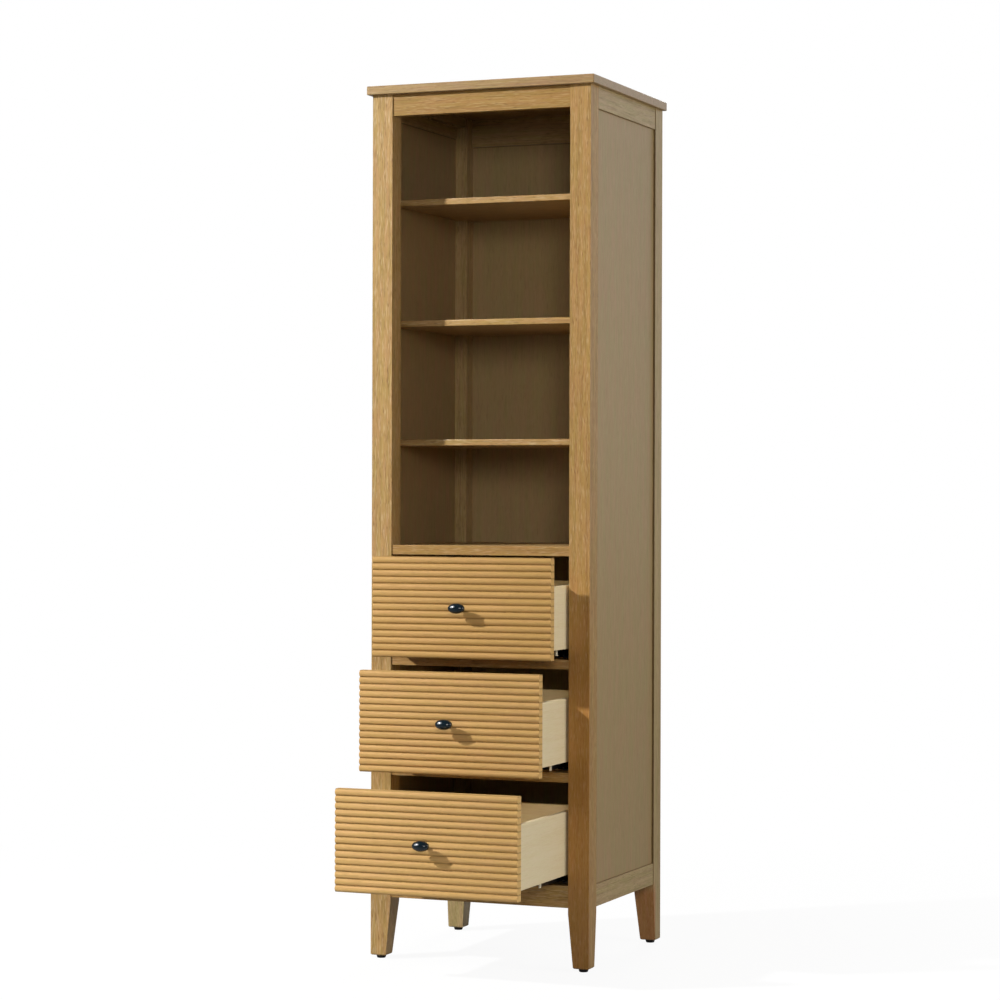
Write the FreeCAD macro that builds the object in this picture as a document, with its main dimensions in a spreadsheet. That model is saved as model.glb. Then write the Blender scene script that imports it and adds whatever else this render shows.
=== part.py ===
import FreeCAD, Part
import os
from types import SimpleNamespace

import Sketcher

# Tall linen cabinet for a bathroom. Four posts carry framed sides, a back and a top. Three fixed
# shelves stand over a deck, and below it three reeded drawers run on undermount slides.
# X runs to the right as seen from the front, Y to the back and Z up. The origin is on the floor,
# under the middle of the body. The drawers stand open by their pull sizes.

# Driving sizes in millimetres, apart from counts and shares
SIZES = {
    # Body and top
    "cabinet_height": 1829,
    "body_width": 488,
    "body_depth": 447,
    "top_thickness": 18,
    "top_side_overhang": 10,
    "top_front_overhang": 10,
    "eased_edge": 1,
    "cut_overrun": 1,
    # Posts and feet
    "post_width": 45,
    "post_depth": 45,
    "foot_size": 34,
    "taper_drop": 12,
    "foot_chamfer": 2,
    "leg_height": 130,
    "glide_height": 7,
    "glide_diameter": 20,
    "glide_foot_diameter": 17,
    "glide_pin_diameter": 5,
    "glide_pin_length": 14,
    # Rails and their tenons
    "rail_height": 45,
    "front_rail_thickness": 20,
    "front_rail_setback": 2,
    "side_rail_thickness": 20,
    "side_rail_setback": 1,
    "back_rail_thickness": 18,
    "back_rail_setback": 1,
    "back_top_rail_height": 61,
    "drawer_rail_height": 20,
    "drawer_rail_depth": 60,
    "deck_rail_height": 20,
    "tenon_length": 15,
    "tenon_shoulder": 4,
    "tenon_edge_shoulder": 8,
    "cross_tenon_depth": 24,
    # Panels, deck and shelves
    "side_panel_thickness": 12,
    "side_panel_recess": 5,
    "back_panel_thickness": 6,
    "back_panel_setback": 5,
    "groove_depth": 6,
    "dado_depth": 4,
    "deck_thickness": 12,
    "base_thickness": 9,
    "base_drop": 10,
    "shelf_thickness": 13,
    "shelf_nose_radius": 1.5,
    "shelf_setback": 28,
    "lower_shelf_share": 0.235,
    "middle_shelf_share": 0.502,
    "upper_shelf_share": 0.773,
    # Top cleats and wood screws
    "cleat_size": 20,
    "top_screw_spacing": 130,
    "top_screw_grip": 30,
    "screw_diameter": 4,
    "screw_head_diameter": 8,
    "screw_head_height": 2.5,
    # Drawer fronts
    "drawer_count": 3,
    "drawer_opening": 211,
    "drawer_gap": 2,
    "front_setback": 2,
    "front_board_thickness": 16,
    "reed_depth": 4,
    "reed_count": 15,
    "reed_groove": 1.2,
    "upper_pull": 100,
    "middle_pull": 163,
    "lower_pull": 276,
    # Drawer boxes
    "box_depth": 381,
    "box_height": 130,
    "box_lift": 20,
    "box_side_gap": 6,
    "box_board_thickness": 12,
    "box_edge_radius": 3,
    "bottom_thickness": 6,
    "bottom_recess": 12,
    "bottom_groove": 6,
    # Knobs and the screws through the drawer fronts
    "knob_length": 36,
    "knob_diameter": 21.5,
    "knob_end_radius": 8,
    "knob_projection": 32,
    "knob_stem_diameter": 8,
    "knob_base_diameter": 11,
    "knob_base_thickness": 2,
    "knob_seat_depth": 1,
    "knob_thread_depth": 9,
    "front_screw_grip": 22,
    "front_screw_inset": 50,
    "front_screw_rise": 40,
    # Undermount slides
    "slide_length": 360,
    "slide_wall": 1.5,
    "slide_clearance": 0.4,
    "slide_front_gap": 2,
    "slide_inset": 20,
    "slide_web_lift": 2,
    "slide_flange_height": 18,
    "runner_width": 20,
    "runner_skirt": 13,
    "middle_skirt": 23,
    "middle_length": 350,
    "batten_height": 32,
    "slide_screw_grip": 14,
    "slide_screw_inset": 60,
    "slide_screw_spacing": 240,
}

doc = FreeCAD.newDocument("LinenCabinet")
sheet = doc.addObject("Spreadsheet::Sheet", "Sizes")
for line, (alias, amount) in enumerate(SIZES.items(), start=1):
    sheet.set(f"A{line}", alias)
    sheet.set(f"B{line}", str(amount))
    sheet.setAlias(f"B{line}", alias)
doc.recompute()


class Size:
    """A length that keeps its formula, so that what is bound to it follows the sheet."""

    def __init__(self, formula, value):
        self.formula = formula
        self.value = value

    def joined(self, sign, other, work):
        other = as_size(other)
        return Size(f"({self.formula} {sign} {other.formula})", work(self.value, other.value))

    def __add__(self, other):
        return self.joined("+", other, lambda a, b: a + b)

    def __sub__(self, other):
        return self.joined("-", other, lambda a, b: a - b)

    def __mul__(self, other):
        return self.joined("*", other, lambda a, b: a * b)

    def __truediv__(self, other):
        return self.joined("/", other, lambda a, b: a / b)

    def __neg__(self):
        return as_size(0) - self


def as_size(length):
    return length if isinstance(length, Size) else Size(str(length), length)


size = SimpleNamespace(**{alias: Size(f"Sizes.{alias}", amount) for alias, amount in SIZES.items()})

# Planes and levels that several pieces share
half_width = size.body_width / 2
half_depth = size.body_depth / 2
inner_x = half_width - size.post_width
inner_y = half_depth - size.post_depth
top_under = size.cabinet_height - size.top_thickness
post_height = top_under - size.glide_height
lower_rail_top = size.leg_height + size.rail_height
upper_rail_under = top_under - size.rail_height
front_rail_y = size.front_rail_setback - half_depth
panel_inner_x = half_width - size.side_panel_recess - size.side_panel_thickness
side_rail_inner_x = half_width - size.side_rail_setback - size.side_rail_thickness
back_panel_front = half_depth - size.back_panel_setback - size.back_panel_thickness
back_rail_y = half_depth - size.back_rail_setback - size.back_rail_thickness
back_top_rail_under = top_under - size.back_top_rail_height
bay_pitch = size.drawer_opening + size.drawer_rail_height
deck_under = lower_rail_top + bay_pitch * size.drawer_count - size.drawer_rail_height
deck_top = deck_under + size.deck_rail_height
box_front_inner_y = front_rail_y - size.front_rail_setback + size.front_setback + (
    size.front_board_thickness + size.reed_depth + size.box_board_thickness)
slide_y = box_front_inner_y + size.slide_front_gap
runner_top_lift = size.drawer_gap + size.box_lift + size.bottom_recess
slide_step = size.slide_wall + size.slide_clearance
base_lift = size.rail_height - size.base_drop - size.base_thickness


def bind(item, path, length):
    """Tie one property of an object to a length."""
    item.setExpression(path, as_size(length).formula)


def place(item, corner):
    """Tie an object's place to three lengths."""
    for axis, length in zip("xyz", corner):
        bind(item, f"Placement.Base.{axis}", length)


def origin_part(body, role):
    """Find one of a body's own planes or axes."""
    return next(part for part in body.Origin.OriginFeatures if part.Role == role)


def new_body(label, corner):
    """Start a piece whose own origin lies at the corner."""
    body = doc.addObject("PartDesign::Body", label)
    body.Label = label
    place(body, corner)
    return body


def blank_sketch(body, plane):
    """An empty sketch on one of the piece's own planes."""
    sketch = body.newObject("Sketcher::SketchObject", "profile")
    sketch.AttachmentSupport = (origin_part(body, plane), [""])
    sketch.MapMode = "FlatFace"
    return sketch


def point(corner):
    """A corner's place on its sketch."""
    return FreeCAD.Vector(*(as_size(length).value for length in corner))


def pin_point(sketch, edge, end, corner):
    """Tie one end of a sketched edge to two lengths from the sketch's origin."""
    for kind, length in zip(("DistanceX", "DistanceY"), corner):
        rule = sketch.addConstraint(Sketcher.Constraint(kind, -1, 1, edge, end, as_size(length).value))
        bind(sketch, f"Constraints[{rule}]", length)


def outline(body, plane, corners):
    """Draw a closed outline of straight edges, each corner tied to two lengths."""
    sketch = blank_sketch(body, plane)
    spots = [point(corner) for corner in corners]
    for index, start in enumerate(spots):
        sketch.addGeometry(Part.LineSegment(start, spots[(index + 1) % len(spots)]), False)
    for index in range(len(spots)):
        following = (index + 1) % len(spots)
        sketch.addConstraint(Sketcher.Constraint("Coincident", index, 2, following, 1))
    for index, corner in enumerate(corners):
        pin_point(sketch, index, 1, corner)
    return sketch


def straight(sketch, start, end):
    """Draw a straight edge with both ends tied."""
    edge = sketch.addGeometry(Part.LineSegment(point(start), point(end)), False)
    pin_point(sketch, edge, 1, start)
    pin_point(sketch, edge, 2, end)


def arc(sketch, start, end, centre, radius):
    """Draw an arc of less than a half circle, with both ends and its radius tied."""
    outward = (point(start) + point(end)) / 2 - point(centre)
    through = point(centre) + outward.normalize() * radius.value
    edge = sketch.addGeometry(Part.Arc(point(start), through, point(end)), False)
    ends = (1, 2) if sketch.getPoint(edge, 1).isEqual(point(start), 1e-6) else (2, 1)
    pin_point(sketch, edge, ends[0], start)
    pin_point(sketch, edge, ends[1], end)
    rule = sketch.addConstraint(Sketcher.Constraint("Radius", edge, radius.value))
    bind(sketch, f"Constraints[{rule}]", radius)


def pad(body, sketch, length):
    """Raise an outline square to its plane."""
    feature = body.newObject("PartDesign::Pad", "pad")
    feature.Profile = sketch
    bind(feature, "Length", length)
    return feature


def rectangle(wide, deep):
    """Corners of a rectangle from the sketch's origin."""
    return [(0, 0), (wide, 0), (wide, deep), (0, deep)]


def board(label, corner, extent):
    """A plain sawn board, from its lowest corner."""
    wide, deep, tall = extent
    body = new_body(label, corner)
    pad(body, outline(body, "XY_Plane", rectangle(wide, deep)), tall)
    return body


def block(body, kind, corner, extent):
    """Add a tenon, or cut a mortise, groove or dado, as a box in the piece."""
    feature = body.newObject(f"PartDesign::{kind}Box", kind)
    for path, length in zip(("Length", "Width", "Height"), extent):
        bind(feature, path, length)
    place(feature, corner)
    return feature


ALONG = {"X": FreeCAD.Vector(1, 0, 0), "Y": FreeCAD.Vector(0, 1, 0), "Z": FreeCAD.Vector(0, 0, 1)}


def bore(body, axis, start, diameter, depth):
    """Cut a round hole from its start, along an axis of the piece."""
    feature = body.newObject("PartDesign::SubtractiveCylinder", "bore")
    turn = FreeCAD.Rotation(ALONG["Z"], ALONG[axis])
    feature.Placement = FreeCAD.Placement(FreeCAD.Vector(), turn)
    bind(feature, "Radius", diameter / 2)
    bind(feature, "Height", depth)
    place(feature, start)
    return feature


def revolve(body, sketch, line):
    """Turn a sketch once about one of its own axes."""
    feature = body.newObject("PartDesign::Revolution", "turned")
    feature.Profile = sketch
    feature.ReferenceAxis = (sketch, [line])
    feature.Angle = 360
    return feature


def turned(body, axis, profile):
    """Turn a profile of (along, radius) pairs about an axis of the piece."""
    plane = "XZ_Plane" if axis == "Z" else "XY_Plane"
    corners = profile if axis == "X" else [(radius, along) for along, radius in profile]
    return revolve(body, outline(body, plane, corners), "H_Axis" if axis == "X" else "V_Axis")


def row(body, originals, axis, count, length):
    """Repeat features, or the whole piece if none are given, along an axis and over a length."""
    body.AllowCompound = True
    feature = body.newObject("PartDesign::LinearPattern", "row")
    if originals:
        feature.Originals = originals
    else:
        feature.TransformMode = "Whole shape"
    feature.Direction = (origin_part(body, f"{axis}_Axis"), [""])
    bind(feature, "Length", length)
    bind(feature, "Occurrences", count)
    body.Tip = feature
    return feature


def grid(body, originals, first, second):
    """Repeat features along two axes: each is (axis, count, length)."""
    feature = row(body, originals, *first)
    axis, count, length = second
    feature.Direction2 = (origin_part(body, f"{axis}_Axis"), [""])
    bind(feature, "Length2", length)
    bind(feature, "Occurrences2", count)
    return feature


def mirror(label, source, axis="X"):
    """The same piece on the other side of the cabinet."""
    copy = doc.addObject("Part::Mirroring", label)
    copy.Label = label
    copy.Source = source
    copy.Normal = ALONG[axis]
    return copy


def group(label, pieces):
    """Several solids that share one name."""
    bundle = doc.addObject("Part::Compound", label)
    bundle.Label = label
    bundle.Links = pieces
    return bundle


def both_sides(label, source):
    """A piece and its mirror image under one name."""
    return group(label, [source, mirror(f"{label}_mirrored", source)])


def edges_at(feature, test):
    """Names of a feature's edges whose middle passes a test."""
    doc.recompute()
    edges = enumerate(feature.Shape.Edges, start=1)
    return [f"Edge{index}" for index, edge in edges if test(edge.CenterOfMass)]


def trim(body, kind, feature, names, length):
    """Chamfer or fillet the named edges of a feature."""
    finish = body.newObject(f"PartDesign::{kind}", kind)
    finish.Base = (feature, names)
    bind(finish, "Size" if kind == "Chamfer" else "Radius", length)
    return finish


# Tenons: a rail's tenon is the rail less its shoulders, and the mortise has the same size
def tenon_box(rail_thickness, rail_height):
    """Thickness and height of the tenon on a rail."""
    return rail_thickness - size.tenon_shoulder * 2, rail_height - size.tenon_edge_shoulder * 2


cross_tenon_height = size.drawer_rail_height - size.tenon_shoulder * 2
deck_tenon_height = size.deck_rail_height - size.tenon_shoulder * 2
cross_tenon_y = size.front_rail_setback + size.tenon_edge_shoulder
front_tenon = tenon_box(size.front_rail_thickness, size.rail_height)
side_tenon = tenon_box(size.side_rail_thickness, size.rail_height)
back_tenon_thickness = size.back_rail_thickness - size.tenon_shoulder * 2
rail_levels = (size.leg_height, upper_rail_under)
drawer_rail_levels = [lower_rail_top + size.drawer_opening + bay_pitch * step for step in range(2)]


def post(label):
    """A post at the left front corner: tapered at the foot, with the joints of the side frame."""
    body = new_body(label, (-half_width, -half_depth, size.glide_height))
    pad(body, outline(body, "XY_Plane", rectangle(size.post_width, size.post_depth)), post_height)
    taper_top = size.leg_height - size.taper_drop - size.glide_height
    for plane, section in (("XZ_Plane", size.post_width), ("YZ_Plane", size.post_depth)):
        wedge = [(size.foot_size, 0), (section, 0), (section, taper_top)]
        feature = body.newObject("PartDesign::Pocket", "taper")
        feature.Profile = outline(body, plane, wedge)
        feature.Type = "ThroughAll"
        feature.Reversed = plane == "YZ_Plane"
    foot = body.Tip
    trim(body, "Chamfer", foot, edges_at(foot, lambda spot: abs(spot.z) < 1e-6), size.foot_chamfer)
    centre = size.foot_size / 2
    bore(body, "Z", (centre, centre, 0), size.glide_pin_diameter, size.glide_pin_length)
    side_groove_tall = upper_rail_under - lower_rail_top + size.groove_depth * 2
    groove_low = lower_rail_top - size.groove_depth - size.glide_height
    block(body, "Subtractive", (size.side_panel_recess, size.post_depth - size.groove_depth, groove_low),
          (size.side_panel_thickness, size.groove_depth + size.cut_overrun, side_groove_tall))
    for level in rail_levels:
        low = level + size.tenon_edge_shoulder - size.glide_height
        block(body, "Subtractive",
              (size.side_rail_setback + size.tenon_shoulder, size.post_depth - size.tenon_length, low),
              (side_tenon[0], size.tenon_length + size.cut_overrun, side_tenon[1]))
    return body


def inner_mortise(body, level, depth_from_face, deep, tall):
    """A mortise in a post's inner face, for a rail that runs across the cabinet."""
    block(body, "Subtractive",
          (size.post_width - size.tenon_length, depth_from_face, level - size.glide_height),
          (size.tenon_length + size.cut_overrun, deep, tall))


def build_posts():
    """Front posts take the front rails, back posts the back rails and the back panel."""
    front = post("leg_front_left")
    for level in rail_levels:
        inner_mortise(front, level + size.tenon_edge_shoulder, size.front_rail_setback + size.tenon_shoulder,
                      *front_tenon)
    for level in drawer_rail_levels:
        inner_mortise(front, level + size.tenon_shoulder, cross_tenon_y, size.cross_tenon_depth,
                      cross_tenon_height)
    inner_mortise(front, deck_under + size.tenon_shoulder, size.front_rail_setback + size.tenon_shoulder,
                  front_tenon[0], deck_tenon_height)
    back = post("back_post_pattern")
    back_face = size.back_rail_setback + size.tenon_shoulder
    back_rails = ((size.leg_height, size.rail_height), (back_top_rail_under, size.back_top_rail_height))
    for level, tall in back_rails:
        inner_mortise(back, level + size.tenon_edge_shoulder, back_face, back_tenon_thickness,
                      tall - size.tenon_edge_shoulder * 2)
    block(back, "Subtractive",
          (size.post_width - size.groove_depth, size.back_panel_setback,
           lower_rail_top - size.groove_depth - size.glide_height),
          (size.groove_depth + size.cut_overrun, size.back_panel_thickness,
           back_top_rail_under - lower_rail_top + size.groove_depth * 2))
    back_left = mirror("leg_back_left", back, "Y")
    return [front, mirror("leg_front_right", front), back_left, mirror("leg_back_right", back_left)]


def cross_rail(label, front_y, level, thick, tall, tenon):
    """A rail across the cabinet, between two posts; the tenon is (y from face, lift, deep, tall)."""
    body = board(label, (-inner_x, front_y, level), (inner_x * 2, thick, tall))
    tenon_y, lift, tenon_deep, tenon_tall = tenon
    for end in (-size.tenon_length, inner_x * 2):
        block(body, "Additive", (end, tenon_y, lift), (size.tenon_length, tenon_deep, tenon_tall))
    return body


def base_groove(rail, groove_y):
    """A groove along a bottom rail for the edge of the base board."""
    block(rail, "Subtractive", (-size.cut_overrun, groove_y, base_lift),
          ((inner_x + size.cut_overrun) * 2, size.dado_depth, size.base_thickness))


def build_front_rails():
    """Top and bottom rails, the deck's rail and the two rails between the drawers."""
    frame_tenon = (size.tenon_shoulder, size.tenon_edge_shoulder, *front_tenon)
    rails = [cross_rail(label, front_rail_y, level, size.front_rail_thickness, size.rail_height, frame_tenon)
             for label, level in zip(("front_bottom_rail", "front_top_rail"), rail_levels)]
    base_groove(rails[0], size.front_rail_thickness - size.dado_depth)
    deck_tenon = (size.tenon_shoulder, size.tenon_shoulder, front_tenon[0], deck_tenon_height)
    rails.append(cross_rail("deck_front_rail", front_rail_y, deck_under, size.front_rail_thickness,
                            size.deck_rail_height, deck_tenon))
    cross_tenon = (size.tenon_edge_shoulder, size.tenon_shoulder, size.cross_tenon_depth, cross_tenon_height)
    for label, level in zip(("drawer_rail_lower", "drawer_rail_upper"), drawer_rail_levels):
        rails.append(cross_rail(label, front_rail_y, level, size.drawer_rail_depth, size.drawer_rail_height,
                                cross_tenon))
    return rails


def build_back():
    """Back rails and the panel held in their grooves."""
    groove_y = back_panel_front - back_rail_y
    pieces = []
    heights = {"back_bottom_rail": (size.leg_height, size.rail_height),
               "back_top_rail": (back_top_rail_under, size.back_top_rail_height)}
    for label, (level, tall) in heights.items():
        tenon = (size.tenon_shoulder, size.tenon_edge_shoulder, back_tenon_thickness,
                 tall - size.tenon_edge_shoulder * 2)
        rail = cross_rail(label, back_rail_y, level, size.back_rail_thickness, tall, tenon)
        groove_z = tall - size.groove_depth if label == "back_bottom_rail" else -size.cut_overrun
        block(rail, "Subtractive", (-size.cut_overrun, groove_y, groove_z),
              ((inner_x + size.cut_overrun) * 2, size.back_panel_thickness,
               size.groove_depth + size.cut_overrun))
        pieces.append(rail)
    base_groove(pieces[0], 0)
    pieces.append(board(
        "back_panel",
        (-inner_x - size.groove_depth, back_panel_front, lower_rail_top - size.groove_depth),
        ((inner_x + size.groove_depth) * 2, size.back_panel_thickness,
         back_top_rail_under - lower_rail_top + size.groove_depth * 2)))
    return pieces


shelf_levels = [deck_top + (top_under - deck_top) * share
                for share in (size.lower_shelf_share, size.middle_shelf_share, size.upper_shelf_share)]


def build_sides():
    """Side rails and the panels between them, with dados for the shelves and the deck."""
    pieces = []
    for end, level in zip(("bottom", "top"), rail_levels):
        rail = board(f"side_rail_left_{end}", (size.side_rail_setback - half_width, -inner_y, level),
                     (size.side_rail_thickness, inner_y * 2, size.rail_height))
        for tenon_y in (-size.tenon_length, inner_y * 2):
            block(rail, "Additive", (size.tenon_shoulder, tenon_y, size.tenon_edge_shoulder),
                  (side_tenon[0], size.tenon_length, side_tenon[1]))
        groove_z = size.rail_height - size.groove_depth if end == "bottom" else -size.cut_overrun
        block(rail, "Subtractive",
              (size.side_panel_recess - size.side_rail_setback, -size.cut_overrun, groove_z),
              (size.side_panel_thickness, (inner_y + size.cut_overrun) * 2,
               size.groove_depth + size.cut_overrun))
        if end == "bottom":
            block(rail, "Subtractive",
                  (size.side_rail_thickness - size.dado_depth, -size.cut_overrun, base_lift),
                  (size.dado_depth + size.cut_overrun, (inner_y + size.cut_overrun) * 2, size.base_thickness))
        pieces += [rail, mirror(f"side_rail_right_{end}", rail)]
    panel_low = lower_rail_top - size.groove_depth
    panel = board("side_panel_left",
                  (size.side_panel_recess - half_width, -inner_y - size.groove_depth, panel_low),
                  (size.side_panel_thickness, (inner_y + size.groove_depth) * 2,
                   upper_rail_under - lower_rail_top + size.groove_depth * 2))
    # The shelves' dados stop short of the front, where the shelves do
    seats = [(level - size.shelf_thickness, size.shelf_thickness, size.shelf_setback)
             for level in shelf_levels]
    seats.append((deck_top - size.deck_thickness, size.deck_thickness, as_size(0)))
    for low, tall, stop in seats:
        block(panel, "Subtractive",
              (size.side_panel_thickness - size.dado_depth, size.groove_depth + stop, low - panel_low),
              (size.dado_depth + size.cut_overrun, inner_y * 2 - stop, tall))
    return pieces + [panel, mirror("side_panel_right", panel)]


def notched(label, half_wide, front_y, back_y, top, thick):
    """A level board that reaches past the posts on all sides and is notched round them."""
    body = new_body(label, (-half_wide, front_y, top - thick))
    notch, far = half_wide - inner_x, inner_x + half_wide
    near_run, long_run, full = -inner_y - front_y, inner_y - front_y, back_y - front_y
    corners = [(notch, 0), (far, 0), (far, near_run), (half_wide * 2, near_run), (half_wide * 2, long_run),
               (far, long_run), (far, full), (notch, full), (notch, long_run), (0, long_run), (0, near_run),
               (notch, near_run)]
    pad(body, outline(body, "XY_Plane", corners), thick)
    return body


def build_shelves():
    """Shelves, deck and base board run from groove to groove and are notched round the posts."""
    seat_x = panel_inner_x + size.dado_depth
    notch = seat_x - inner_x
    shelf_front = size.shelf_setback - inner_y
    long_run = inner_y - shelf_front
    pieces = []
    for label, level in zip(("shelf_lower", "shelf_middle", "shelf_upper"), shelf_levels):
        body = new_body(label, (-seat_x, shelf_front, level - size.shelf_thickness))
        full = back_panel_front - shelf_front
        corners = [(0, 0), (seat_x * 2, 0), (seat_x * 2, long_run), (seat_x * 2 - notch, long_run),
                   (seat_x * 2 - notch, full), (notch, full), (notch, long_run), (0, long_run)]
        shelf = pad(body, outline(body, "XY_Plane", corners), size.shelf_thickness)
        nose = edges_at(shelf, lambda spot: abs(spot.y) < 1e-6 and abs(spot.x - seat_x.value) < 1e-6)
        trim(body, "Fillet", shelf, nose, size.shelf_nose_radius)
        pieces.append(body)
    rail_back = front_rail_y + size.front_rail_thickness
    pieces.append(notched("fixed_deck", seat_x, rail_back, back_panel_front, deck_top, size.deck_thickness))
    seat = size.dado_depth
    pieces.append(notched("base_board", side_rail_inner_x + seat, rail_back - seat, back_rail_y + seat,
                          lower_rail_top - size.base_drop, size.base_thickness))
    return pieces


def screw(label, axis, corner, grip, way=1):
    """A flat-headed screw along an axis, either way; its corner is the outside of the head."""
    body = new_body(label, corner)
    head, shank = size.screw_head_diameter / 2, size.screw_diameter / 2
    neck = size.screw_head_height * way
    tip = neck + grip * way
    turned(body, axis, [(0, 0), (tip, 0), (tip, shank), (neck, shank), (neck, head), (0, head)])
    return body


def build_top():
    """The top, the cleats that hold it and their screws."""
    wide = (half_width + size.top_side_overhang) * 2
    deep = size.body_depth + size.top_front_overhang
    corner_x, corner_y = -half_width - size.top_side_overhang, -half_depth - size.top_front_overhang
    top = board("top_panel", (corner_x, corner_y, top_under), (wide, deep, size.top_thickness))
    doc.recompute()
    slab = top.Tip
    trim(top, "Chamfer", slab, edges_at(slab, lambda spot: True), size.eased_edge)
    cleat_x = -side_rail_inner_x
    cleat = board("left_cleat", (cleat_x, -inner_y, top_under - size.cleat_size),
                  (size.cleat_size, inner_y * 2, size.cleat_size))
    screw_x = cleat_x + size.cleat_size / 2
    rows = ("Y", 3, size.top_screw_spacing * 2)
    row(cleat, [bore(cleat, "Z", (size.cleat_size / 2, inner_y - size.top_screw_spacing, 0),
                     size.screw_diameter, size.cleat_size)], *rows)
    pilots = [bore(top, "Z", (place_x - corner_x, -size.top_screw_spacing - corner_y, 0), size.screw_diameter,
                   size.top_screw_grip - size.cleat_size) for place_x in (screw_x, -screw_x)]
    row(top, pilots, *rows)
    screws = screw("left_top_screws", "Z",
                   (screw_x, -size.top_screw_spacing, top_under - size.cleat_size - size.screw_head_height),
                   size.top_screw_grip)
    row(screws, [screws.Tip], *rows)
    return [top, both_sides("top_cleats", cleat), both_sides("top_screws", screws)]


def build_glides():
    """Floor glides: a tapered disc under each foot, with a pin driven into it."""
    inset = size.foot_size / 2
    body = new_body("floor_glides", (inset - half_width, inset - half_depth, 0))
    rim = size.glide_diameter / 2
    pin = size.glide_pin_diameter / 2
    tip = size.glide_height + size.glide_pin_length
    disc = turned(body, "Z", [(0, 0), (0, size.glide_foot_diameter / 2), (size.glide_height / 2, rim),
                              (size.glide_height, rim), (size.glide_height, pin), (tip, pin), (tip, 0)])
    grid(body, [disc], ("X", 2, size.body_width - size.foot_size), ("Y", 2, size.body_depth - size.foot_size))
    return [body]


def hood(body, wide, skirt, length):
    """A slide member with a folded section: a top with a skirt down each side."""
    wall = size.slide_wall
    section = [(0, 0), (wall, 0), (wall, skirt - wall), (wide - wall, skirt - wall), (wide - wall, 0),
               (wide, 0), (wide, skirt), (0, skirt)]
    feature = pad(body, outline(body, "XZ_Plane", section), length)
    feature.Reversed = True
    return feature


def build_slide_mounts():
    """Battens between the posts, the fixed slide members and the screws that hold them."""
    levels = ("Z", size.drawer_count, bay_pitch * (size.drawer_count - 1))
    batten = board("left_battens", (-panel_inner_x, -inner_y, lower_rail_top),
                   (panel_inner_x - inner_x, inner_y * 2, size.batten_height))
    screw_z = size.slide_web_lift + size.slide_flange_height / 2
    screw_y = slide_y + size.slide_screw_inset
    in_batten = size.slide_screw_grip - size.slide_wall
    pilot_x = panel_inner_x - inner_x - in_batten
    for run in (0, size.slide_screw_spacing):
        bore(batten, "X", (pilot_x, screw_y + inner_y + run, screw_z), size.screw_diameter, in_batten)
    row(batten, None, *levels)

    fixed = new_body("left_slide_rails", (-inner_x, slide_y, lower_rail_top + size.slide_web_lift))
    wall = size.slide_wall
    hat_left = size.slide_inset + slide_step * 2
    hat_right = size.slide_inset + size.runner_width - slide_step * 2
    hat_top = runner_top_lift - slide_step * 2 - size.slide_web_lift
    foot = size.slide_inset + size.runner_width
    section = [(0, 0), (hat_left + wall, 0), (hat_left + wall, hat_top - wall),
               (hat_right - wall, hat_top - wall), (hat_right - wall, 0), (foot, 0), (foot, wall),
               (hat_right, wall), (hat_right, hat_top), (hat_left, hat_top), (hat_left, wall), (wall, wall),
               (wall, size.slide_flange_height), (0, size.slide_flange_height)]
    rail = pad(fixed, outline(fixed, "XZ_Plane", section), size.slide_length)
    rail.Reversed = True
    for run in (0, size.slide_screw_spacing):
        bore(fixed, "X", (0, size.slide_screw_inset + run, size.slide_flange_height / 2),
             size.screw_diameter, wall)
    row(fixed, None, *levels)

    head_x = wall + size.screw_head_height - inner_x
    screws = screw("left_slide_screws", "X", (head_x, screw_y, lower_rail_top + screw_z),
                   size.slide_screw_grip, way=-1)
    grid(screws, [screws.Tip], ("Y", 2, size.slide_screw_spacing), levels)
    return [both_sides("slide_battens", batten), both_sides("slide_rails", fixed),
            both_sides("slide_screws", screws)]


def build_middle_slide(name, floor, pull):
    """The two middle slide members of a drawer, drawn out half as far as the drawer."""
    wide = size.runner_width - slide_step * 2
    top = floor + runner_top_lift - slide_step
    body = new_body(f"left_middle_{name}", (size.slide_inset + slide_step - inner_x, slide_y - pull / 2,
                                            top - size.middle_skirt))
    hood(body, wide, size.middle_skirt, size.middle_length)
    return both_sides(f"slide_middle_{name}", body)


def reeded_front(label, corner, wide, tall):
    """A drawer front with half-round reeds across its whole face, worked as one reed in a row."""
    body = board(label, corner, (wide, size.front_board_thickness, tall))
    pitch = tall / size.reed_count
    low, high = size.reed_groove / 2, pitch - size.reed_groove / 2
    chord = high - low
    radius = (chord * chord / 4 + size.reed_depth * size.reed_depth) / (size.reed_depth * 2)
    sketch = blank_sketch(body, "YZ_Plane")
    straight(sketch, (0, low), (0, high))
    arc(sketch, (0, low), (0, high), (radius - size.reed_depth, pitch / 2), radius)
    reed = pad(body, sketch, wide)
    row(body, [reed], "Z", size.reed_count, pitch * (size.reed_count - 1))
    return body


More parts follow.
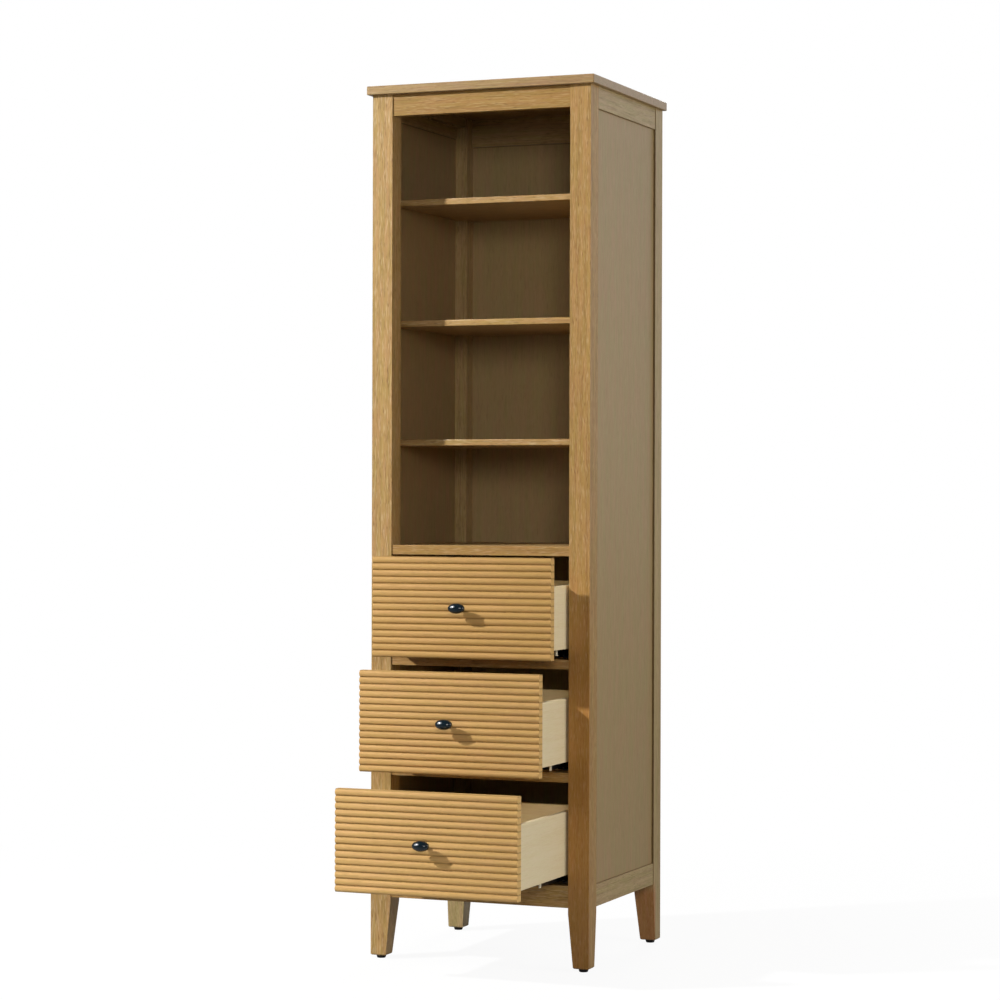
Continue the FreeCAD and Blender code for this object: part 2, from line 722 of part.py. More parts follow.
def build_drawer(name, bay, pull):
    """A drawer: reeded front, box, knob, screws and its own slide members."""
    floor = lower_rail_top + bay_pitch * bay
    front_half = inner_x - size.drawer_gap
    front_low = floor + size.drawer_gap
    front_tall = size.drawer_opening - size.drawer_gap * 2
    back_of_front = box_front_inner_y - size.box_board_thickness - pull
    face_y = back_of_front - size.front_board_thickness
    crest_y = face_y - size.reed_depth
    wood = size.box_board_thickness
    box_half = inner_x - size.box_side_gap
    box_low = front_low + size.box_lift
    bottom_low = box_low + size.bottom_recess
    bottom_high = bottom_low + size.bottom_thickness

    front = reeded_front(f"drawer_{name}_front", (-front_half, face_y, front_low), front_half * 2, front_tall)
    centre = (front_half, front_tall / 2)
    bore(front, "Y", (centre[0], -size.reed_depth, centre[1]), size.knob_base_diameter, size.knob_seat_depth)
    bore(front, "Y", (centre[0], -size.reed_depth, centre[1]), size.screw_diameter,
         size.reed_depth + size.front_board_thickness)

    box_front = board(f"drawer_{name}_box_front", (wood - box_half, back_of_front, box_low),
                      ((box_half - wood) * 2, wood, size.box_height))
    block(box_front, "Subtractive", (-size.cut_overrun, wood - size.bottom_groove, size.bottom_recess),
          ((box_half - wood + size.cut_overrun) * 2, size.bottom_groove + size.cut_overrun,
           size.bottom_thickness))
    knob_z = front_low + front_tall / 2
    bore(box_front, "Y", (box_half - wood, 0, knob_z - box_low), size.screw_diameter, wood)

    side = board(f"drawer_{name}_side_left", (-box_half, back_of_front, box_low),
                 (wood, size.box_depth, size.box_height))
    doc.recompute()
    plank = side.Tip
    crown = edges_at(plank, lambda spot: abs(spot.z - size.box_height.value) < 1e-6
                     and abs(spot.y - size.box_depth.value / 2) < 1e-6)
    trim(side, "Fillet", plank, crown, size.box_edge_radius)
    block(side, "Subtractive", (wood - size.bottom_groove, -size.cut_overrun, size.bottom_recess),
          (size.bottom_groove + size.cut_overrun, size.box_depth + size.cut_overrun * 2,
           size.bottom_thickness))

    back = board(f"drawer_{name}_back", (wood - box_half, back_of_front + size.box_depth - wood, bottom_high),
                 ((box_half - wood) * 2, wood, box_low + size.box_height - bottom_high))
    tongue = wood - size.bottom_groove
    bottom = board(f"drawer_{name}_bottom", (tongue - box_half, back_of_front + tongue, bottom_low),
                   ((box_half - tongue) * 2, size.box_depth - tongue, size.bottom_thickness))

    screws = []
    front_screw_z = (size.front_screw_rise, size.box_height - size.front_screw_rise)
    head_y = wood + size.screw_head_height
    for hand, mirrored_x in (("left", -1), ("right", 1)):
        for rise, lift in zip(("low", "high"), front_screw_z):
            place_x = (box_half - size.front_screw_inset) * mirrored_x
            bore(box_front, "Y", (place_x + box_half - wood, 0, lift), size.screw_diameter, wood)
            in_front = size.front_screw_grip - wood
            bore(front, "Y", (place_x + front_half, size.front_board_thickness - in_front,
                              lift + size.box_lift), size.screw_diameter, in_front)
            screws.append(screw(f"{name}_{hand}_{rise}_screw", "Y",
                                (place_x, back_of_front + head_y, box_low + lift),
                                size.front_screw_grip, way=-1))
    knob_grip = wood + back_of_front - crest_y - size.knob_seat_depth + size.knob_thread_depth
    screws.append(screw(f"{name}_knob_screw", "Y", (0, back_of_front + head_y, knob_z), knob_grip, way=-1))

    knob = build_knob(f"drawer_{name}_knob", crest_y + size.knob_seat_depth, knob_z)

    runner = new_body(f"left_runner_{name}", (size.slide_inset - inner_x, slide_y - pull,
                                              floor + runner_top_lift - size.runner_skirt))
    runner_length = size.box_depth - wood * 2 - size.slide_front_gap
    hood(runner, size.runner_width, size.runner_skirt, runner_length)
    return [front, box_front, side, mirror(f"drawer_{name}_side_right", side), back, bottom, knob,
            group(f"drawer_{name}_screws", screws), both_sides(f"drawer_{name}_runners", runner)]


def build_knob(label, seat_y, level):
    """An oval knob on a stem with a small base, tapped for its screw."""
    half_long, half_round = size.knob_length / 2, size.knob_diameter / 2
    stem_run = size.knob_projection + size.knob_seat_depth - half_round
    body = new_body(label, (0, seat_y - stem_run, level))
    stem, base = size.knob_stem_diameter / 2, size.knob_base_diameter / 2
    turned(body, "Y", [(0, 0), (0, stem), (stem_run - size.knob_base_thickness * 2, stem),
                       (stem_run - size.knob_base_thickness, base), (stem_run, base), (stem_run, 0)])
    # The oval is three arcs that run into one another, turned about its long axis
    end = size.knob_end_radius
    side = (half_long * half_long + half_round * half_round - half_long * end * 2) / ((half_round - end) * 2)
    end_x, side_y = half_long - end, side - half_round
    join_x, join_y = end_x + end_x * end / (side - end), side_y * end / (side - end)
    oval = blank_sketch(body, "XY_Plane")
    straight(oval, (-half_long, 0), (half_long, 0))
    arc(oval, (half_long, 0), (join_x, join_y), (end_x, 0), end)
    arc(oval, (join_x, join_y), (-join_x, join_y), (0, -side_y), side)
    arc(oval, (-join_x, join_y), (-half_long, 0), (-end_x, 0), end)
    revolve(body, oval, "H_Axis")
    bore(body, "Y", (0, stem_run - size.knob_thread_depth, 0), size.screw_diameter, size.knob_thread_depth)
    return body


pieces = build_posts() + build_front_rails() + build_back() + build_sides() + build_shelves()
pieces += build_top() + build_glides() + build_slide_mounts()
pulls = {"lower": size.lower_pull, "middle": size.middle_pull, "upper": size.upper_pull}
for bay, (name, pull) in enumerate(pulls.items()):
    pieces.append(build_middle_slide(name, lower_rail_top + bay_pitch * bay, pull))
    pieces += build_drawer(name, bay, pull)
doc.recompute()

faults = [item.Label for item in doc.Objects if {"Invalid", "Error"} & set(item.State)]
faults += [piece.Label for piece in pieces if piece.Shape.isNull() or not piece.Shape.isValid()]
if faults:
    raise RuntimeError("pieces that did not build: " + ", ".join(faults))

os.makedirs("parts", exist_ok=True)
for piece in pieces:
    piece.Shape.exportStep(f"parts/{piece.Label}.step")
    print(f"{piece.Label}: {len(piece.Shape.Solids)} solids, {piece.Shape.Volume / 1000:.1f} cm3")
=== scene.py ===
"""Looks of a tall linen cabinet: an oak frame with open shelves over inset reeded drawers."""

import logging
import math
from collections.abc import Sequence
from dataclasses import dataclass, replace
from enum import Enum
from typing import Any, Union

import bmesh
import bpy
from mathutils import Matrix, Vector


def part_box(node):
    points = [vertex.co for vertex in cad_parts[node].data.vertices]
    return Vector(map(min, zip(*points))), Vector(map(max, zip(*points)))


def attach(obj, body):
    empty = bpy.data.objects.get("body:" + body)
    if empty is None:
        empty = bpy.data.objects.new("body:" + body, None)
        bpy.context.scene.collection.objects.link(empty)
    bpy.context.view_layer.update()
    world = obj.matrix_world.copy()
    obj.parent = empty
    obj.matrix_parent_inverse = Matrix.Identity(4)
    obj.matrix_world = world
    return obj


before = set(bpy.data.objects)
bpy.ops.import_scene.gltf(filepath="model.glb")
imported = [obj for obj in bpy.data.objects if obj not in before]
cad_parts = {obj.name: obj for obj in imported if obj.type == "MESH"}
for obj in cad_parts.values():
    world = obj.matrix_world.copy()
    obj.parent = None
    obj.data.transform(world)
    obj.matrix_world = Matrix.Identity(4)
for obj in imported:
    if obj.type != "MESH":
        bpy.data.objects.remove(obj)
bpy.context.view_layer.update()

Band = tuple[float, float]
Colour = tuple[float, float, float, float]
Place = tuple[float, float, float]
Sockets = Union[Sequence[Any], dict[Union[int, str], Any]]

LOG = logging.getLogger("linen_cabinet")
MM = 0.001
IMAGE_PIXELS = 1000
WHITE = "#ffffff"
# The inputs and the output that a Mix node has for colours
SHARE, UNDER, OVER = 0, 6, 7
MIXED = 2
# A step longer than the cabinet, for a single row of stain
ONLY = 4.0
HALF_STEP = 0.5
# Where most values of a noise lie, and a narrower band for marks with clearer edges
NOISE_BAND: Band = (0.3, 0.7)
CLEAR_BAND: Band = (0.35, 0.65)
# How much fine detail a noise holds, and how strong that detail is in wood
SMOOTH, PLAIN, RICH = 1.0, 2.0, 3.0
WOOD_ROUGHNESS = 0.6
# How far apart in the log two boards may be cut, in metres
LOG_SPREAD: Place = (31.0, 47.0, 59.0)
# Edges sharper than this angle, in degrees, are eased in this many steps
EDGE_ANGLE = 35.0
EDGE_STEPS = 2
# Corners of neighbouring faces that lie closer than this are one corner
WELD_MM = 0.005


class Grain(Enum):
    """The way a board's grain runs, as an axis of the frame."""

    SIDEWAYS = 0
    DEEP = 1
    UPRIGHT = 2


class Layer(Enum):
    """The drawers from the floor up."""

    LOWER = "lower"
    MIDDLE = "middle"
    UPPER = "upper"


def linear(code: str) -> Colour:
    """Turns an sRGB hex colour to linear light.

    Args:
        code: The colour as #rrggbb.

    Returns:
        Linear red, green and blue, and an alpha of one.
    """
    parts = [int(code[start:start + 2], 16) / 255 for start in (1, 3, 5)]
    red, green, blue = (p / 12.92 if p <= 0.04045 else ((p + 0.055) / 1.055) ** 2.4 for p in parts)
    return red, green, blue, 1.0


def add(tree: bpy.types.NodeTree, kind: str, sockets: Sockets = (), **settings: Any) -> bpy.types.Node:
    """Adds one node, sets it up and links it.

    Args:
        tree: The node tree.
        kind: The node's type, without Blender's prefix for shader nodes.
        sockets: An output to link from or a constant for each input, in order or by name or number.
        settings: The node's own properties.

    Returns:
        The new node.
    """
    node = tree.nodes.new("ShaderNode" + kind)
    for name, value in settings.items():
        setattr(node, name, value)
    inputs = sockets.items() if isinstance(sockets, dict) else enumerate(sockets)
    for key, value in inputs:
        if isinstance(value, bpy.types.NodeSocket):
            tree.links.new(value, node.inputs[key])
        else:
            node.inputs[key].default_value = value
    return node


def new_material(name: str) -> tuple[bpy.types.Material, bpy.types.NodeTree]:
    """Makes an empty node material.

    Args:
        name: The real material's name.

    Returns:
        The material and its node tree.
    """
    material = bpy.data.materials.new(name)
    material.use_nodes = True
    material.node_tree.nodes.clear()
    return material, material.node_tree


@dataclass(frozen=True)
class Rows:
    """Places at equal steps along an axis, in metres.

    The tone is full as far as the bed on each side of a place, and gone past the reach.
    """

    axis: Grain
    start: float
    step: float
    bed_mm: float = 0.5
    reach_mm: float = 2.6


@dataclass(frozen=True)
class PaintedShade:
    """Painted shade on parts of a board, such as a dark line in each hollow or recess, or a warmer tone
    where shade falls.

    It fades out at its edges. With rows along several axes, it lies only where they all cross.
    """

    name: str
    rows: tuple[Rows, ...]
    tone: str = "#5a3d1c"
    share: float = 0.3

    def lay(self, tree: bpy.types.NodeTree, spot: bpy.types.NodeSocket,
            colour: bpy.types.NodeSocket) -> bpy.types.NodeSocket:
        """Lays the painted shade over a board's colour.

        Args:
            tree: The material's node tree.
            spot: The place on the board.
            colour: The board's colour.

        Returns:
            The colour with the painted shade.
        """
        share = self.share
        axes = add(tree, "SeparateXYZ", [spot]).outputs
        for row in self.rows:
            steps = add(tree, "Math", [axes[row.axis.value], 1 / row.step, -row.start / row.step],
                        operation="MULTIPLY_ADD").outputs[0]
            apart = add(tree, "Math", [steps, HALF_STEP], operation="PINGPONG").outputs[0]
            bed, reach = row.bed_mm * MM / row.step, row.reach_mm * MM / row.step
            share = add(tree, "MapRange", [apart, bed, reach, share, 0.0]).outputs[0]
        # The painted shade is mixed over the board's colour
        stained = add(tree, "Mix", {SHARE: share, UNDER: colour, OVER: linear(self.tone)}, data_type="RGBA")
        return stained.outputs[MIXED]


@dataclass(frozen=True)
class Timber:
    """A planed board or sheet, with a clear coat or without.

    Long straight figure gives a soft stripe, streaks a finger wide lean to pink or to olive, short pores
    give dark dashes along the grain, rays give pale ones, and the coat gives a satin sheen that turns pale
    at a low angle. Pores and rays are a third of a millimetre wide on the real board and are drawn some
    five times as wide, so that they show. A board with a nap scatters light more evenly.
    """

    name: str
    pale: str
    deep: str
    pore: str
    blush: str
    moss: str
    ray: str = "#dcc6a0"
    figure_mm: float = 7.0
    figure_run_mm: float = 420.0
    figure_band: Band = (0.32, 0.68)
    figure_warp: float = 0.4
    fibre_mm: float = 2.0
    fibre_run_mm: float = 36.0
    stripe_full: float = 0.62
    pore_mm: float = 1.7
    pore_run_mm: float = 15.0
    pore_band: Band = (0.58, 0.74)
    pore_share: float = 0.5
    ray_mm: float = 1.3
    ray_run_mm: float = 30.0
    ray_band: Band = (0.52, 0.74)
    ray_share: float = 0.0
    streak_mm: float = 9.0
    streak_run_mm: float = 75.0
    streak_share: float = 0.32
    tone_spread: float = 0.04
    roughness: float = 0.36
    roughness_play: Band = (-0.05, 0.06)
    relief_mm: float = 0.08
    relief_strength: float = 0.5
    ior: float = 1.5
    sheen_level: float = 0.27
    nap: float = 0.0

    def pattern(self, tree: bpy.types.NodeTree, place: bpy.types.NodeSocket, grain: Grain, across_mm: float,
                along_mm: float, detail: float, warp: float = 0.0) -> bpy.types.NodeSocket:
        """Draws a noise out along the grain.

        Args:
            tree: The material's node tree.
            place: The place in the log.
            grain: The way the grain runs.
            across_mm: The marks' size across the grain.
            along_mm: The marks' size along the grain.
            detail: How much fine detail they hold.
            warp: How far they waver.

        Returns:
            A value from 0 to 1.
        """
        rates = [1 / (across_mm * MM)] * len(Grain)
        rates[grain.value] = 1 / (along_mm * MM)
        drawn = add(tree, "VectorMath", [place, rates], operation="MULTIPLY").outputs[0]
        return add(tree, "TexNoise", {"Vector": drawn, "Scale": 1.0, "Detail": detail,
                                      "Roughness": WOOD_ROUGHNESS, "Distortion": warp}).outputs[0]

    def material(self, grain: Grain, *painted_shades: PaintedShade) -> bpy.types.Material:
        """Makes the board's material, once for each way of the grain and each set of painted shades.

        Args:
            grain: The way the grain runs.
            painted_shades: The painted shade on the board, if it has any.

        Returns:
            The material.
        """
        label = " ".join([self.name, grain.name.lower()] + [painted_shade.name for painted_shade in painted_shades])
        if label in bpy.data.materials:
            return bpy.data.materials[label]
        material, tree = new_material(label)
        spot = add(tree, "TexCoord").outputs["Object"]
        chance = add(tree, "ObjectInfo").outputs["Random"]
        # Each board is cut from its own place in the log
        place = add(tree, "VectorMath", [chance, LOG_SPREAD, spot], operation="MULTIPLY_ADD").outputs[0]
        figure = self.pattern(tree, place, grain, self.figure_mm, self.figure_run_mm, RICH,
                              self.figure_warp)
        fibre = self.pattern(tree, place, grain, self.fibre_mm, self.fibre_run_mm, PLAIN)
        pores = self.pattern(tree, place, grain, self.pore_mm, self.pore_run_mm, SMOOTH)
        streaks = self.pattern(tree, place, grain, self.streak_mm, self.streak_run_mm, PLAIN)
        rays = self.pattern(tree, place, grain, self.ray_mm, self.ray_run_mm, SMOOTH)
        broad = add(tree, "MapRange", [figure, *self.figure_band]).outputs[0]
        fine = add(tree, "MapRange", [fibre, *NOISE_BAND]).outputs[0]
        both = add(tree, "Math", [broad, fine], operation="MULTIPLY").outputs[0]
        stripe = add(tree, "MapRange", [both, 0.0, self.stripe_full]).outputs[0]
        side = add(tree, "MapRange", [streaks, *CLEAR_BAND]).outputs[0]
        fleck = add(tree, "MapRange", [rays, *self.ray_band, 0.0, self.ray_share]).outputs[0]
        dash = add(tree, "MapRange", [pores, *self.pore_band, 0.0, self.pore_share]).outputs[0]
        lean = add(tree, "Mix", {SHARE: side, UNDER: linear(self.moss), OVER: linear(self.blush)},
                   data_type="RGBA")
        colour = linear(self.pale)
        for share, layer in ((stripe, linear(self.deep)), (self.streak_share, lean.outputs[MIXED]),
                             (fleck, linear(self.ray)), (dash, linear(self.pore))):
            mix = add(tree, "Mix", {SHARE: share, UNDER: colour, OVER: layer}, data_type="RGBA")
            colour = mix.outputs[MIXED]
        # Painted shade goes over the grain and the colours
        for painted_shade in painted_shades:
            colour = painted_shade.lay(tree, spot, colour)
        tone = add(tree, "MapRange", [chance, 0.0, 1.0, 1 - self.tone_spread, 1 + self.tone_spread])
        toned = add(tree, "HueSaturation", {"Color": colour, "Value": tone.outputs[0]})
        depth = add(tree, "Math", [fibre, dash], operation="SUBTRACT").outputs[0]
        bump = add(tree, "Bump", {"Height": depth, "Strength": self.relief_strength,
                                  "Distance": self.relief_mm * MM})
        rough = [self.roughness + play for play in self.roughness_play]
        board = add(tree, "BsdfPrincipled", {
            "Base Color": toned.outputs[0], "Normal": bump.outputs[0], "IOR": self.ior,
            "Specular IOR Level": self.sheen_level, "Diffuse Roughness": self.nap,
            "Roughness": add(tree, "MapRange", [fibre, *NOISE_BAND, *rough]).outputs[0]})
        add(tree, "OutputMaterial", [board.outputs[0]])
        return material


@dataclass(frozen=True)
class ZincSteel:
    """Steel with zinc plating.

    The plating gives a cool grey or a soft yellow, with cloudy crystals a few millimetres wide. The rolls
    leave fine lines, which are drawn coarser than real ones, so that they show.
    """

    name: str = "zinc-plated steel"
    bright: str = "#5c5f63"
    dull: str = "#3d4044"
    crystal_mm: float = 4.0
    line_mm: float = 0.8
    line_run_mm: float = 60.0
    roughness: float = 0.32
    roughness_play: Band = (-0.08, 0.1)
    relief_mm: float = 0.02
    relief_strength: float = 0.2

    def material(self) -> bpy.types.Material:
        """Makes the plated steel, once.

        Returns:
            The material.
        """
        if self.name in bpy.data.materials:
            return bpy.data.materials[self.name]
        material, tree = new_material(self.name)
        spot = add(tree, "TexCoord").outputs["Object"]
        crystals = add(tree, "TexVoronoi", {"Vector": spot, "Scale": 1 / (self.crystal_mm * MM)})
        cloud = crystals.outputs["Color"]
        tone = add(tree, "Mix", {SHARE: cloud, UNDER: linear(self.bright), OVER: linear(self.dull)},
                   data_type="RGBA")
        across, along = 1 / (self.line_mm * MM), 1 / (self.line_run_mm * MM)
        drawn = add(tree, "VectorMath", [spot, (across, along, across)], operation="MULTIPLY").outputs[0]
        lines = add(tree, "TexNoise", {"Vector": drawn, "Scale": 1.0, "Detail": PLAIN}).outputs[0]
        rough = [self.roughness + play for play in self.roughness_play]
        bump = add(tree, "Bump", {"Height": lines, "Strength": self.relief_strength,
                                  "Distance": self.relief_mm * MM})
        steel = add(tree, "BsdfPrincipled", {
            "Base Color": tone.outputs[MIXED], "Metallic": 1.0, "Normal": bump.outputs[0],
            "Roughness": add(tree, "MapRange", [lines, *NOISE_BAND, *rough]).outputs[0]})
        add(tree, "OutputMaterial", [steel.outputs[0]])
        return material


@dataclass(frozen=True)
class Moulded:
    """A smooth opaque finish over a cast or moulded piece.

    A faint mottle of a few millimetres keeps the surface from looking flat, and the roughness says how
    sharply it mirrors the room.
    """

    name: str
    ground: str
    mottle: str
    roughness: float
    roughness_shares: Band = (0.9, 1.15)
    mottle_mm: float = 3.0
    relief_mm: float = 0.02
    relief_strength: float = 0.2
    ior: float = 1.5
    gloss_level: float = 0.5

    def material(self) -> bpy.types.Material:
        """Makes the finish, once.

        Returns:
            The material.
        """
        if self.name in bpy.data.materials:
            return bpy.data.materials[self.name]
        material, tree = new_material(self.name)
        spot = add(tree, "TexCoord").outputs["Object"]
        noise = add(tree, "TexNoise", {"Vector": spot, "Scale": 1 / (self.mottle_mm * MM), "Detail": RICH})
        cloud = noise.outputs[0]
        share = add(tree, "MapRange", [cloud, *CLEAR_BAND]).outputs[0]
        tone = add(tree, "Mix", {SHARE: share, UNDER: linear(self.ground), OVER: linear(self.mottle)},
                   data_type="RGBA")
        rough = [self.roughness * part for part in self.roughness_shares]
        bump = add(tree, "Bump", {"Height": cloud, "Strength": self.relief_strength,
                                  "Distance": self.relief_mm * MM})
        skin = add(tree, "BsdfPrincipled", {
            "Base Color": tone.outputs[MIXED], "Normal": bump.outputs[0], "IOR": self.ior,
            "Specular IOR Level": self.gloss_level,
            "Roughness": add(tree, "MapRange", [cloud, *NOISE_BAND, *rough]).outputs[0]})
        add(tree, "OutputMaterial", [skin.outputs[0]])
        return material


# Honey brown with dark pores and pale flecks under a soft shine
FRAME_OAK = Timber("stained oak with satin lacquer", pale="#b7945b", deep="#8f6f3d", pore="#6a4c28",
                   blush="#b58864", moss="#a08b4d", fibre_mm=1.6, fibre_run_mm=55.0, pore_mm=2.0,
                   pore_run_mm=17.0, ray_mm=1.9, ray_run_mm=24.0, pore_share=0.55, ray_share=0.42)
# Heartwood boards, redder than the rest of the frame
WARM_OAK = replace(FRAME_OAK, name="warm oak with satin lacquer", pale="#b18b50", deep="#8a6836",
                   pore="#664724", blush="#af8058", moss="#9a8243", ray="#d5b98e")
# The rail under the top comes from a darker plank
DEEP_OAK = replace(WARM_OAK, name="deep oak with satin lacquer", pale="#a68145", deep="#81602e",
                   pore="#5f421f", blush="#a4774c", moss="#90793a", ray="#c7ab7a")
# Boards at the sides and the back, with a quieter grain; their greyer tone is painted cool shade and sheen
GREY_OAK = replace(FRAME_OAK, name="grey oak with satin lacquer", pale="#bba26f", deep="#937b4b",
                   pore="#6d5633", blush="#b89578", moss="#a39860", pore_share=0.42, ray_share=0.28)
# A second coat makes the top a little darker and shinier
TOP_OAK = Timber("stained oak with a second coat", pale="#ab8b5a", deep="#8a6c41", pore="#6a4c28",
                 blush="#a98064", moss="#98854e", fibre_mm=1.6, fibre_run_mm=55.0, ray_share=0.25,
                 roughness=0.3, sheen_level=0.6)
# Thin sheets, even, with a fine upright grain; their greyish, greenish tone is painted cool shade inside
# the cabinet
PANEL_OAK = Timber("oak veneer with satin lacquer", pale="#b39d72", deep="#a59169", pore="#857150",
                   blush="#ae8f6c", moss="#a39564", figure_mm=4.0, fibre_mm=1.3, fibre_run_mm=45.0,
                   pore_mm=1.4, pore_run_mm=22.0, streak_mm=16.0, streak_run_mm=120.0, pore_share=0.38,
                   ray_share=0.12, streak_share=0.45, tone_spread=0.02)
# The sheets at the sides are the same veneer, a little rosier, without the painted cool shade of the one at
# the back
SIDE_PANEL_OAK = replace(PANEL_OAK, name="rosy oak veneer with satin lacquer", pale="#ae9468",
                         deep="#9f875f", pore="#816847", blush="#aa8863", moss="#9d8e5d",
                         streak_share=0.55)
# The cleats under the top are softwood, stained like the veneer at the back, with the same painted cool
# shade
CLEAT_PINE = replace(PANEL_OAK, name="stained pine with satin lacquer")
# The reeded fronts are pale and dull; the lower the drawer, the paler its front
PALE_REEDS = Timber("pale reeded oak", pale="#e6bf7c", deep="#d9b370", pore="#a9854c", blush="#e2b687",
                    moss="#d6b66e", pore_share=0.25, streak_share=0.22, tone_spread=0.0, roughness=0.6,
                    sheen_level=0.15, nap=0.8)
REED_OAK = {
    Layer.LOWER: PALE_REEDS,
    Layer.MIDDLE: replace(PALE_REEDS, name="fair reeded oak", pale="#dfb875", deep="#d2aa69",
                          pore="#9f7b44", blush="#deaf81", moss="#d0b067"),
    Layer.UPPER: replace(PALE_REEDS, name="mid reeded oak", pale="#d9b16e", deep="#cca462",
                         pore="#99753f", blush="#d7a878", moss="#caa962"),
}
# Cream, with hardly any grain
BOX_WOOD = Timber("sealed maple", pale="#f7e7c0", deep="#efdbae", pore="#d2b684", blush="#efd9b4",
                  moss="#ead9a8", pore_share=0.15, tone_spread=0.01, figure_mm=11.0)
# Straw yellow and dull
BOX_PLY = Timber("birch plywood", pale="#e8d5aa", deep="#dcc594", pore="#bfa06c", blush="#dfc294",
                 moss="#dcc88e", pore_share=0.2, tone_spread=0.02, roughness=0.5, figure_mm=16.0)
# Bare and grey
BASE_PLY = Timber("raw plywood", pale="#b3aa98", deep="#a2978a", pore="#7f7568", blush="#b0a18e",
                  moss="#a6a08a", roughness=0.6, figure_mm=16.0)
# Yellow softwood with a clear stripe
BATTEN_WOOD = Timber("planed pine", pale="#cdae7c", deep="#b08a55", pore="#8c6636", blush="#c09466",
                     moss="#bca468", figure_mm=5.0, roughness=0.55)
# Dark in the shade under the drawers, with a cool glint
STEEL = ZincSteel()
# Soft yellow, close to the wood
SCREW_STEEL = ZincSteel("yellow-passivated zinc", bright="#c2ad7e", dull="#a08c60", crystal_mm=2.0,
                        roughness=0.5)
# Nearly black, with small sharp highlights; its blue tint is a painted reflection
KNOB_ENAMEL = Moulded("blue-black stove enamel", "#09171e", "#0d202a", roughness=0.13, gloss_level=0.5)
# Dull black
GLIDE_PLASTIC = Moulded("black polythene", "#0b0b0b", "#121211", roughness=0.45, gloss_level=0.3)
# Milky
CAP_NYLON = Moulded("natural nylon", "#e8dfc6", "#dfd3b4", roughness=0.38, ior=1.53)


def dress(name: str, material: bpy.types.Material, edge_mm: float = 0.0) -> None:
    """Gives a carried-over CAD node its material and eases its edges.

    Args:
        name: The CAD node.
        material: Its material.
        edge_mm: The width of the eased edges, or 0 to leave them.
    """
    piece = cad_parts[name]
    piece.data.materials.clear()
    piece.data.materials.append(material)
    if edge_mm:
        weld = piece.modifiers.new("joined", "WELD")
        weld.merge_threshold = WELD_MM * MM
        ease = piece.modifiers.new("eased edges", "BEVEL")
        ease.width = edge_mm * MM
        ease.segments = EDGE_STEPS
        ease.limit_method = "ANGLE"
        ease.angle_limit = math.radians(EDGE_ANGLE)
        ease.harden_normals = True
    LOG.info("dressed %s in %s", name, material.name)


@dataclass
class PostFrame:
    """The four posts that taper into legs and the rails between them."""

    edge_mm: float = 1.0
    warm_shade_rise_mm: Band = (600.0, 860.0)
    warm_shade_skin_mm: Band = (2.0, 8.0)
    foot_shade_rise_mm: Band = (110.0, 140.0)
    foot_shade_skin_mm: Band = (11.0, 15.0)
    ledge_shade_mm: Band = (1.6, 2.8)
    ledge_shade_end_mm: float = 2.0

    def ledge_shade(self) -> PaintedShade:
        """Works out the painted shade on the ledge of a back post, beside the side panel.

        Returns:
            The painted shade, for both back posts.
        """
        post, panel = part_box("leg_back_right"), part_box("side_panel_right")
        ledge = (post[1][0] + panel[1][0]) / 2
        low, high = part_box("side_rail_right_bottom")[0][2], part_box("side_rail_right_top")[1][2]
        half_mm = (high - low) / 2 / MM
        rows = (Rows(Grain.DEEP, post[0][1], ONLY, *self.ledge_shade_mm),
                Rows(Grain.SIDEWAYS, ledge, 2 * ledge, *self.ledge_shade_mm),
                Rows(Grain.UPRIGHT, (low + high) / 2, ONLY, half_mm, half_mm + self.ledge_shade_end_mm))
        return PaintedShade("dark beside the side panels", rows, tone="#3c2812", share=0.75)

    def warm_shade_rows(self, face: float, rise_mm: Band, skin_mm: Band) -> tuple[Rows, Rows]:
        """Works out where a post gets painted warm shade: in front, from the floor up.

        Args:
            face: Where the post's front face lies along the depth, in metres.
            rise_mm: The heights where the painted shade begins to fade and is gone.
            skin_mm: The depths behind the face where it begins to fade and is gone.

        Returns:
            The rows for a painted shade.
        """
        return Rows(Grain.UPRIGHT, 0.0, ONLY, *rise_mm), Rows(Grain.DEEP, face, ONLY, *skin_mm)

    def dress_posts(self) -> None:
        """Dresses the posts with upright grain, with painted warm shade low on the right and painted shade
        on the back ledges.
        """
        face, back_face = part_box("leg_front_right")[0][1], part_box("leg_back_right")[0][1]
        # Painted warm shade: redder low on the front post's face where the drawers shade it, and on the
        # back post's foot
        warm_front_shade = PaintedShade("redder low in front", self.warm_shade_rows(face, self.warm_shade_rise_mm, self.warm_shade_skin_mm),
                      tone="#a46518", share=0.4)
        foot = PaintedShade("redder foot", self.warm_shade_rows(back_face, self.foot_shade_rise_mm, self.foot_shade_skin_mm),
                     tone="#b25800", share=0.45)
        # Painted shade on the ledge of each back post beside the side panel
        ledge_shade = self.ledge_shade()
        dress("leg_front_left", FRAME_OAK.material(Grain.UPRIGHT), self.edge_mm)
        dress("leg_front_right", WARM_OAK.material(Grain.UPRIGHT, warm_front_shade), self.edge_mm)
        dress("leg_back_left", GREY_OAK.material(Grain.UPRIGHT, ledge_shade), self.edge_mm)
        dress("leg_back_right", GREY_OAK.material(Grain.UPRIGHT, ledge_shade, foot), self.edge_mm)

    def dress_rails(self) -> None:
        """Dresses each rail with grain along its length."""
        dress("front_top_rail", DEEP_OAK.material(Grain.SIDEWAYS), self.edge_mm)
        for rail in ("front_bottom_rail", "deck_front_rail", "drawer_rail_lower", "drawer_rail_upper"):
            dress(rail, WARM_OAK.material(Grain.SIDEWAYS), self.edge_mm)
        for rail in ("back_bottom_rail", "back_top_rail"):
            dress(rail, GREY_OAK.material(Grain.SIDEWAYS), self.edge_mm)
        for side in ("left", "right"):
            for end in ("bottom", "top"):
                dress(f"side_rail_{side}_{end}", GREY_OAK.material(Grain.DEEP), self.edge_mm)


